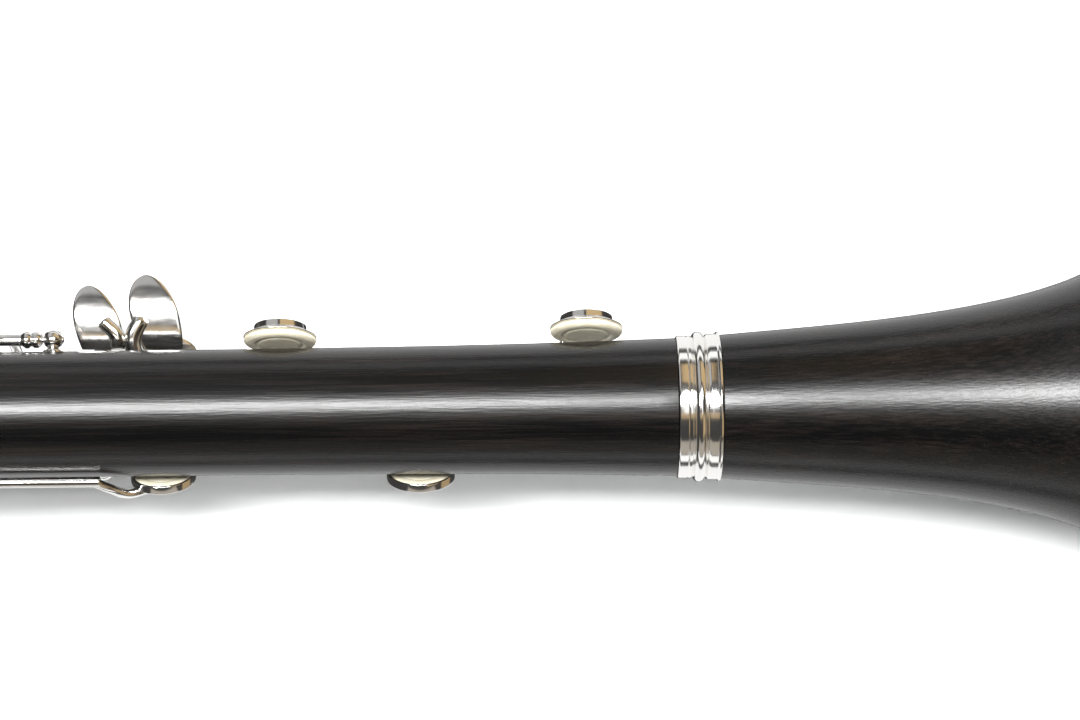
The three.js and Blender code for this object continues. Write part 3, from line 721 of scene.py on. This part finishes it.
def make_low_f_sharp():
    line = hinge("low_f_sharp_turn")
    phi, rho = line
    skins = [
        tube(line, LOWER_Z + 86, LOWER_Z + 114),
        stepped_cup(**LOW_F_SHARP),
        arm(lower((phi, rho, 92), (-28, 21, 92), (-48, 21.4, 92), (-68, 21, 92)), 3, 2),
        oval(-36, 24, LOWER_Z + 119, 5.2, 4.5),
        arm(lower((phi, rho, 108), (-22, 21.6, 111.5), (-34, 23.6, 117))),
    ]
    piece("low_f_sharp_work", skins, "silver_plate", "low_f_sharp_key", "low_f_sharp_key")
    piece(
        "low_f_sharp_leather", [puffed_pad(**LOW_F_SHARP)], "pad_leather", "low_f_sharp_key", "low_f_sharp_pad")
    rod_with_posts("low_f_sharp_rod", line, LOWER_Z + 86, LOWER_Z + 114, lower_foot)


def make_left_side():
    line = hinge("left_side_turn")
    phi, rho = line
    skins = [
        tube(line, LOWER_Z + 175, LOWER_Z + 212),
        straight_cup(**LEFT_SIDE),
        arm(lower((phi, rho, 181), (111, 17.4, 178.5), (107, 16.6, 174), (109, 16.5, 165)), 2.4, 2.4),
        rod_between(at(109, 16.5, LOWER_Z + 133), at(109, 16.5, LOWER_Z + 167), 1.2, 0.5),
        arm(lower((109, 16.5, 134.6), (98, 17.5, 131.3), (82, 19, 127.6), (64, 18.7, 121)), 2.5, 2.2),
        arm(lower((phi, rho, 205), (98, 21, 216), (78, 22.4, 232))),
        oval(78, 22.6, LOWER_Z + 235, 7, 3.2),
    ]
    piece("left_side_work", skins, "silver_plate", "left_side_key", "left_side_key")
    piece("left_side_leather", [flush_pad(**LEFT_SIDE)], "pad_leather", "left_side_key", "left_side_pad")
    rod_with_posts("left_side_rod", line, LOWER_Z + 175, LOWER_Z + 212, lower_foot)
    line = hinge("left_e_lever_turn")
    phi, rho = line
    skins = [
        tube(line, LOWER_Z + 138, LOWER_Z + 216),
        arm(lower((phi, rho, 140), (34, 22.4, 138), (16, 22.6, 130), (2, 20.2, 126.5))),
        arm(lower((phi, rho, 205), (53, 21.8, 214), (55, 22, 230))),
        oval(56, 22.4, LOWER_Z + 235, 7, 2.6),
    ]
    piece("left_e_lever_work", skins, "silver_plate", "left_e_lever", "left_e_lever")
    rod_with_posts("left_e_lever_rod", line, LOWER_Z + 138, LOWER_Z + 216, lower_foot)


def ring_arm(line, z):
    phi, rho = line
    return arm([(phi, rho, z), (phi * 0.66, RING_SPACE + 1.4, z), (-23, RING_SPACE + 0.8, z)])


def make_lower_rings():
    line = hinge("lower_ring_turn")
    collar = [
        (AXIS, 147.8), (1.3, 147.8), (2.0, 148.6), (2.0, 149.6), (1.5, 150.2), (2.1, 150.8), (2.1, 151.6),
        (1.45, 152.6), (AXIS, 152.6),
    ]
    skins = [tube(line, LOWER_Z + 148.2, LOWER_Z + 218), turned_along(line, collar, LOWER_Z)]
    for z in LOWER_RINGS:
        skins += [finger_ring(0, z), ring_arm(line, z)]
    skins.append(arm(lower((line[0], line[1], 208), (-56, 19, 215), (-44, 18.2, 225), (-44, 18.2, 237))))
    piece("lower_ring_work", skins, "silver_plate", "lower_ring_key", "lower_ring_key")
    rod_with_posts("lower_ring_rod", line, LOWER_Z + 148.2, LOWER_Z + 218, lower_foot)
    line = hinge("lower_side_turn")
    phi, rho = line
    cup = dict(phi=-42, z=LOWER_Z + 168, face=15.2, radius=3.8)
    skins = [
        tube(line, LOWER_Z + 163, LOWER_Z + 175),
        small_cup(**cup),
        arm(lower((phi, rho, 169), (-76, 21.8, 168.5), (-56, 21, 168), (-42, 18, 168))),
        arm(lower((phi, rho, 169), (-108, 19.6, 169), (-118, 20.4, 169))),
        oval(-120, 20.6, LOWER_Z + 169, 7, 3.4),
    ]
    piece("lower_side_work", skins, "silver_plate", "lower_side_key", "lower_side_key")
    small_pad("lower_side", "lower_side_key", **cup)
    rod_with_posts("lower_side_rod", line, LOWER_Z + 163, LOWER_Z + 175, lower_foot)


UPPER_LENGTH = BARREL_Z - UPPER_Z


def upper_foot(z):
    return UPPER_RADIUS


def upper_cup(phi, z, face=14.9, radius=4.2):
    return dict(phi=phi, z=UPPER_Z + z, face=face, radius=radius)


C_SHARP = upper_cup(24, 68.3, radius=4.1)
THROAT_A = upper_cup(0, 138)
THROAT_G_SHARP = upper_cup(72, 122)
REGISTER = upper_cup(180, 156, radius=3.6)
THUMB_VENT = upper_cup(150, 118)
FIRST_VENT = upper_cup(-26, 104)
TRILLS = [upper_cup(-58 - 17 * i, 128 + 13 * i, radius=4.4) for i in range(4)]
UPPER_VENTS = [C_SHARP, THROAT_A, THROAT_G_SHARP, REGISTER, THUMB_VENT, FIRST_VENT, *TRILLS]


def make_upper_joint():
    top = UPPER_LENGTH
    profile = [
        (TENON + 0.9, -16), (TENON + 0.9, 0), (UPPER_RADIUS, GAP), (UPPER_RADIUS, top - 1), (13.6, top - GAP),
        (TENON, top - GAP), (TENON, top + 15), (BORE, top + 15), (BORE, -16),
    ]
    made = piece(
        "turned_upper_joint", [turned(profile, 0.2, FINEST, z=UPPER_Z)], "grenadilla", "body", "upper_joint")
    holes = [(cup["phi"], cup["z"], 2.4) for cup in UPPER_VENTS]
    holes += [(0, z, 3.6) for z in (*UPPER_RINGS, FIRST_RING)] + [(180, THUMB_HOLE, 3.6)]
    bored(made, [hole(*each) for each in holes])
    rims = [(0, z) for z in (*UPPER_RINGS, FIRST_RING)] + [(180, THUMB_HOLE)]
    for index, (phi, z) in enumerate(rims):
        piece(f"upper_chimney_{index + 1}", [chimney_tube(phi, z)], "grenadilla", "body")


def small_key(node, joint, span, skins, cup=None):
    """A key on the upper joint: a tube along its hinge line, its own skins, and a small cup with a pad."""
    line = hinge(joint)
    skins = [tube(line, UPPER_Z + span[0], UPPER_Z + span[1]), *skins]
    if cup:
        skins.append(small_cup(**cup))
        small_pad(node, node, **cup)
    piece(node + "_work", skins, "silver_plate", node, node)


def upper_ring_arm(phi, z):
    return arm([(phi, UPPER_HINGE, z), (phi * 0.66, RING_SPACE + 1.4, z), (-23, RING_SPACE + 0.8, z)])


def make_upper_rings():
    skins = [skin for z in UPPER_RINGS for skin in (finger_ring(0, z), upper_ring_arm(-60, z))]
    skins.append(arm(upper((-60, UPPER_HINGE, 26), (-47, 19.8, 18), (-44, 20.3, 8), (-44, 20.3, -3))))
    small_key("upper_ring_key", "upper_ring_turn", (17, 78), skins)
    skins = [finger_ring(0, FIRST_RING), upper_ring_arm(-60, FIRST_RING)]
    skins.append(arm(upper((-60, UPPER_HINGE, 104), (-44, 18.6, 104), (-28, UPPER_HINGE, 104))))
    small_key("first_ring_key", "first_ring_turn", (78.6, 108), skins, FIRST_VENT)
    rod_with_posts("upper_ring_rod", hinge("upper_ring_turn"), UPPER_Z + 17, UPPER_Z + 108, upper_foot)
    skins = [
        finger_ring(180, THUMB_HOLE),
        arm(upper((128, UPPER_HINGE, 92), (142, 17.6, 92), (158, RING_SPACE + 0.5, 92))),
        arm(upper((128, UPPER_HINGE, 118), (138, 18.4, 118), (149, UPPER_HINGE, 118))),
    ]
    small_key("thumb_ring_key", "thumb_ring_turn", (80, 122), skins, THUMB_VENT)
    rod_with_posts("thumb_ring_rod", hinge("thumb_ring_turn"), UPPER_Z + 80, UPPER_Z + 122, upper_foot)


def rocker(node, phi, z, cup, skins):
    """A key whose hinge runs across the bore."""
    middle = at(phi, UPPER_HINGE, UPPER_Z + z)
    side_way = Vector((0, 0, 1)).cross(outward(phi)) * 3
    barrel = rod_between(middle - side_way, middle + side_way, TUBE, 0.15)
    small_pad(node, node, **cup)
    piece(node + "_work", [barrel, small_cup(**cup), *skins], "silver_plate", node, node)


def make_throat_keys():
    rocker("register_key", 180, 128, REGISTER, [
        arm(upper((180, UPPER_HINGE, 128), (180, 19.4, 142), (180, UPPER_HINGE, 155)), 3.2, 1.8, 2.4),
        arm(upper((180, UPPER_HINGE, 128), (180, 20, 118), (180, 20.6, 106)), 3.2),
        oval(180, 21, UPPER_Z + 104, 6, 4),
    ])
    cross_rod("register_rod", UPPER_Z + 128, 180, UPPER_RADIUS)
    rocker("throat_a_key", 0, 116, THROAT_A, [
        arm(upper((0, UPPER_HINGE, 116), (0, 19.2, 127), (0, UPPER_HINGE, 137)), 3, 1.8, 2.4),
        arm(upper((0, UPPER_HINGE, 116), (0, 19.8, 108), (0, 20.4, 101)), 3),
        oval(0, 20.8, UPPER_Z + 99, 5, 4),
    ])
    cross_rod("throat_a_rod", UPPER_Z + 116, 0, UPPER_RADIUS)
    small_key("throat_g_sharp_key", "throat_g_sharp_turn", (100, 124), [
        arm(upper((42, UPPER_HINGE, 121), (56, 18.6, 121.5), (70, UPPER_HINGE, 122))),
        arm(upper((42, UPPER_HINGE, 106), (32, 20.2, 101), (24, 20.6, 95))),
        oval(23, 20.8, UPPER_Z + 92, 5, 3.2),
    ], THROAT_G_SHARP)
    rod_with_posts(
        "throat_g_sharp_rod", hinge("throat_g_sharp_turn"), UPPER_Z + 100, UPPER_Z + 124, upper_foot)
    small_key("c_sharp_key", "c_sharp_turn", (16, 72), [
        arm(upper((50, UPPER_HINGE, 69), (38, 18.6, 68.5), (25, UPPER_HINGE, 68))),
        arm(upper((50, UPPER_HINGE, 26), (60, 20, 22), (72, 21.6, 19))),
        oval(74, 21.8, UPPER_Z + 17, 5, 5),
    ], C_SHARP)
    rod_with_posts("c_sharp_rod", hinge("c_sharp_turn"), UPPER_Z + 16, UPPER_Z + 72, upper_foot)


def make_trills():
    for i, cup in enumerate(TRILLS):
        joint = f"trill_{i + 1}_turn"
        phi, rho = hinge(joint)
        start, end = 24 + 12 * i, 120 + 13 * i
        press = start - 14
        small_key(f"trill_key_{i + 1}", joint, (start, end), [
            arm(upper((phi, rho, end - 6), (phi + 17, 18.6, end - 3), (cup["phi"], UPPER_HINGE, end + 8))),
            arm(upper((phi, rho, start + 8), (phi - 2, 21.4, start + 1), (phi - 8, 21.6, press))),
            oval(phi - 9, 21.6, UPPER_Z + press, 6.5, 2.4),
        ], cup)
        rod_with_posts(f"trill_key_{i + 1}_rod", (phi, rho), UPPER_Z + start, UPPER_Z + end, upper_foot)


def make_barrel():
    length = BARREL_LENGTH
    low, high = 5, length - 5
    outside = []
    for step in range(25):
        t = step / 24
        outside.append((15.4 + 1.5 * math.sin(math.pi * t) ** 0.8, low + (high - low) * t))
    profile = [
        (14.2, 0.1), (14.2, low), *outside, (14.2, high), (14.2, length - 0.4), (TENON + GAP, length - 0.4),
        (TENON + GAP, length - 17), (BORE, length - 17), (BORE, 16), (TENON + GAP, 16), (TENON + GAP, 0.1),
    ]
    piece("turned_barrel", [turned(profile, 0.1, FINEST, z=BARREL_Z)], "grenadilla", "barrel", "barrel")
    band = [
        (14.5, GAP), (15.9, GAP), (16.2, 0.9), (16.05, 1.8), (16.3, 2.5), (16.05, 3.2), (16.15, 4),
        (15.9, 4.7), (14.5, 4.7),
    ]
    for name, foot in (("barrel_lower_ring", BARREL_Z), ("barrel_upper_ring", BARREL_Z + high)):
        piece("turned_" + name, [turned(band, 0.2, FINEST, z=foot)], "silver_plate", "barrel", name)


def boxed(centre, size):
    """A plain block, for cutting with."""
    cx, cy, cz = centre
    corners = [(-1, -1), (1, -1), (1, 1), (-1, 1)]
    rings = []
    for level in (-1, 1):
        rings.append([
            Vector((cx + a * size[0] / 2, cy + b * size[1] / 2, cz + level * size[2] / 2)) for a, b in corners
        ])
    return loft(rings)


def slab(profile, width, rounding=0.3, z=0.0):
    """A side view of (distance behind the axis, height) corners, extruded across the bore."""
    edge = min(rounding, width / 4)
    rings = []
    for x, inset in ((-width / 2, edge), (-width / 2 + edge, 0), (width / 2 - edge, 0), (width / 2, edge)):
        centre = sum((Vector(p) for p in profile), Vector((0, 0))) / len(profile)
        ring = []
        for p in profile:
            away = Vector(p) - centre
            place = centre + away * (1 - inset / away.length)
            ring.append(Vector((x, place.x, place.y + z)))
        rings.append(ring)
    return loft(rings)


TABLE = 8.6  # how far behind the axis the reed's flat lies


def make_mouthpiece():
    tip = TIP_Z - MOUTHPIECE_Z
    outside = [(TENON, -15), (TENON, 0), (14, 0), (14.2, 4), (12.6, 6), (11, tip)]
    body = turned([(0.05, -15), *outside, (0.05, tip)], 0.3, 160, closed=False, z=MOUTHPIECE_Z)
    made = piece("turned_mouthpiece", [body], "ebonite", "mouthpiece", "mouthpiece")
    bore = [(0.05, -20), (BORE, -20), (6.6, 30), (0.05, 30)]
    window = [(-4.5, 24), (TABLE + 1, 36), (TABLE + 1, tip - 3), (TABLE - 3.4, tip - 6)]
    cutters = [
        slab([(-20, 34), (-13, 34), (TABLE - 1.6, tip + 0.1), (-20, tip + 1)], 40, 0.01, MOUTHPIECE_Z),
        slab([(TABLE, 10), (20, 10), (20, tip + 1), (TABLE - 1, tip + 1), (TABLE, 40)], 40, 0.01, MOUTHPIECE_Z),
        turned(bore, 0.01, 64, closed=False, z=MOUTHPIECE_Z),
        slab(window, 11, 0.01, MOUTHPIECE_Z),
    ]
    bored(made, cutters)
    reed = [
        (TABLE + GAP, 11), (TABLE + 2.8, 11), (TABLE + 2.7, 36), (TABLE + 1.2, 50), (TABLE - 0.4, tip - 0.4),
        (TABLE - 0.7, tip - 0.4), (TABLE + GAP, 40),
    ]
    piece("cut_reed", [slab(reed, 11.6, 0.25, MOUTHPIECE_Z)], "cane", "mouthpiece", "reed")
    band = [
        (13.2, 14), (14.1, 14), (14.4, 14.5), (14.2, 15.2), (14.2, 32.8), (14.4, 33.5), (14.1, 34), (13.2, 34),
    ]
    skins = [turned(band, 0.2, 160, z=MOUTHPIECE_Z)]
    for z in (18, 30):
        for x in (-3, 3):
            middle = Vector((x, 15.3, MOUTHPIECE_Z + z))
            sleeve = [(1.15, -1.5), (1.8, -1.5), (1.8, 1.5), (1.15, 1.5)]
            skins.append(crosswise(sleeve, middle))
    piece("ligature_band", skins, "silver_plate", "mouthpiece", "ligature")
    for index, z in enumerate((18, 30)):
        middle = Vector((0, 15.3, MOUTHPIECE_Z + z))
        head = [
            (AXIS, -10.7), (2.4, -10.7), (2.8, -10.2), (2.6, -9.6), (2.8, -9.2), (2.6, -8.8), (2.8, -8.2),
            (2.2, -7.7),
        ]
        screw = [*head, (0.8, -7.7), (0.8, 5), (AXIS, 5)]
        name = f"ligature_screw_{index + 1}"
        piece("turned_" + name, [crosswise(screw, middle, False)], "silver_plate", name, name)


def crosswise(profile, middle, closed=True):
    """A profile of (radius, distance to the player's left) corners turned about a line across the bore."""
    rings = []
    for r, x in rounded(profile, 0.2, closed):
        turns = [2 * math.pi * side / 40 for side in range(40)]
        rings.append([middle + Vector((x, r * math.cos(t), r * math.sin(t))) for t in turns])
    return loft(rings, wrap=closed)


def arc_plate(inner, outer, half, low, high, rows=24):
    """A plate bent round the thumb side of the bore, between two heights."""
    rings = []
    for row in range(rows + 1):
        phi = 180 - half + 2 * half * row / rows
        soft = 0.2 if 0 < row < rows else 0.5
        rings.append([
            at(phi, inner, low + soft), at(phi, inner, high - soft), at(phi, inner + soft, high),
            at(phi, outer - soft, high), at(phi, outer, high - soft), at(phi, outer, low + soft),
            at(phi, outer - soft, low), at(phi, inner + soft, low),
        ])
    return loft(rings)


def make_thumb_rest():
    z = LOWER_Z + 188
    skins = [arc_plate(14.8, 16.6, 24, z - 16, z + 16), arc_plate(16, 34, 12, z - 4, z - 1.4)]
    made = piece("thumb_rest_plate", skins, "silver_plate", "body", "thumb_rest")
    bored(made, [radial([(AXIS, 12), (1.3, 12), (1.3, 20), (AXIS, 20)], 180, z + 9, 0.01, 32)])
    screw = [
        (AXIS, 14.8), (1, 14.8), (1, 16.9), (2.6, 16.9), (2.6, 17.6), (1.6, 18.3), (AXIS, 18.4),
    ]
    turned_screw = radial(screw, 180, z + 9, 0.15, 48)
    head = piece("thumb_rest_screw_head", [turned_screw], "steel", "thumb_rest_screw", "thumb_rest_screw")
    bored(head, [boxed((0, 18.6, z + 9), (0.6, 1, 7))])


make_bell()
make_socket_ring()
make_lower_joint()
make_low_e()
make_low_f()
make_low_f_sharp()
make_left_side()
make_lower_rings()
make_upper_joint()
make_upper_rings()
make_throat_keys()
make_trills()
make_barrel()
make_mouthpiece()
make_thumb_rest()

# ---- camera: level with the lower joint on the thumb side, rolled so that the bore runs across ----
CAMERA_AWAY = 600.0
FIELD = 251.2  # width seen at the bore
CAMERA_HEIGHT = 138.5
BORE_BELOW = 11.3  # how far under the frame's centre the bore lies
ROLL = math.radians(0.68)


def make_camera():
    data = bpy.data.cameras.new("camera")
    data.sensor_width = 36
    data.lens = 36 * CAMERA_AWAY / FIELD
    camera = bpy.data.objects.new("camera", data)
    bpy.context.scene.collection.objects.link(camera)
    right = Vector((math.sin(ROLL), 0, -math.cos(ROLL)))
    up = Vector((-math.cos(ROLL), 0, -math.sin(ROLL)))
    back = Vector((0, 1, 0))
    place = Vector((0, 0, CAMERA_HEIGHT)) + up * BORE_BELOW + back * CAMERA_AWAY
    turn = Matrix((right, up, back)).transposed().to_4x4()
    camera.matrix_world = Matrix.Translation(place * MM) @ turn
    bpy.context.scene.camera = camera


def panel(name, centre, size, aim, power, color=(1, 1, 1), mirrored=True, lights=True):
    """A softbox aimed at a point. Places are in millimetres and size is its width and height.

    With lights off it is a card: only polished surfaces show it. With mirrored off they do not show it.
    """
    data = bpy.data.lights.new(name, "AREA")
    data.shape = "RECTANGLE"
    data.size, data.size_y = size[0] * MM, size[1] * MM
    data.energy = power
    data.color = color
    light = bpy.data.objects.new(name, data)
    bpy.context.scene.collection.objects.link(light)
    light.location = Vector(centre) * MM
    light.visible_glossy = mirrored
    light.visible_diffuse = lights
    light.visible_camera = False
    light.rotation_mode = "QUATERNION"
    light.rotation_quaternion = (Vector(aim) - Vector(centre)).to_track_quat("-Z", "Y")


def sheet_of(name, corners, color, one_sided=False):
    """A flat part of the stage. A one-sided one is clear from behind."""
    mesh = bpy.data.meshes.new(name)
    mesh.from_pydata([tuple(Vector(c) * MM) for c in corners], [], [tuple(range(len(corners)))])
    made = bpy.data.objects.new(name, mesh)
    bpy.context.scene.collection.objects.link(made)
    material, principled = shader(name, color, 0.9)
    mesh.materials.append(material)
    if one_sided:
        tree = material.node_tree
        clear = tree.nodes.new("ShaderNodeBsdfTransparent")
        mix = tree.nodes.new("ShaderNodeMixShader")
        side = tree.nodes.new("ShaderNodeNewGeometry")
        tree.links.new(side.outputs["Backfacing"], mix.inputs["Fac"])
        tree.links.new(principled.outputs["BSDF"], mix.inputs[1])
        tree.links.new(clear.outputs["BSDF"], mix.inputs[2])
        tree.links.new(mix.outputs["Shader"], tree.nodes["Material Output"].inputs["Surface"])
    return made


TAN = (1, 0.70, 0.34)
PALE_TAN = (1, 0.90, 0.76)
PALE_GREY = (0.72, 0.73, 0.73)
NEAR_WHITE = (0.93, 0.94, 0.94)


def make_stage():
    """Floor, backdrop and lights. Polished metal shows the cards instead of the floor and backdrop."""
    far = 3000
    floor = sheet_of("floor", [(-far, -far, 0), (far, -far, 0), (far, far, 0), (-far, far, 0)], PALE_GREY)
    floor.visible_glossy = False
    floor.visible_shadow = False
    wall = -41
    corners = [(-700, wall, 0), (-700, wall, 900), (700, wall, 900), (700, wall, 0)]
    backdrop = sheet_of("backdrop", corners, NEAR_WHITE, one_sided=True)
    backdrop.visible_glossy = False
    backdrop.visible_shadow = False
    world = bpy.data.worlds.new("studio")
    world.use_nodes = True
    sky = world.node_tree.nodes["Background"]
    sky.inputs["Color"].default_value = (1, 0.97, 0.95, 1)
    sky.inputs["Strength"].default_value = 0.05
    bpy.context.scene.world = world
    panel("long_softbox", (-180, 900, 400), (150, 560), (0, 0, 200), 12.5)
    panel("low_softbox", (-290, 870, -20), (220, 260), (0, 0, 60), 1.8)
    panel("white_card", (-130, 880, -20), (560, 270), (0, 0, 60), 0.55, lights=False)
    panel("tan_card", (-755, 490, -500), (740, 1500), (0, 0, 60), 2.0, TAN, lights=False)
    panel("grey_card", (-755, 490, 650), (740, 800), (0, 0, 200), 0.75, lights=False)
    panel("upper_side_card", (-900, 0, 100), (220, 1500), (0, 0, 100), 1.2, lights=False)
    panel("lower_side_card", (900, 0, 100), (220, 1500), (0, 0, 100), 1.2, lights=False)
    panel("upper_back_card", (-620, -640, 100), (900, 1500), (0, 0, 100), 4.2, lights=False)
    panel("lower_back_card", (620, -640, 100), (900, 1500), (0, 0, 100), 4.2, lights=False)
    panel("bell_end_card", (150, -100, -700), (600, 900), (0, 0, 120), 0.6, TAN, lights=False)
    panel("low_grey_card", (834, 337, 100), (400, 1500), (0, 0, 100), 0.7, PALE_TAN, lights=False)
    panel("crown_card", (500, 740, -620), (560, 900), (0, 0, 100), 0.7, TAN, lights=False)
    panel("brown_card", (200, 880, 50), (150, 1400), (0, 0, 100), 0.25, TAN, lights=False)
    panel("soft_fill", (-260, 900, 0), (500, 500), (0, 0, 80), 5.5, mirrored=False)
    panel("side_fill", (-800, 400, 200), (600, 800), (0, 0, 150), 3, mirrored=False)


make_camera()
make_stage()
bpy.context.scene.view_settings.view_transform = "Standard"
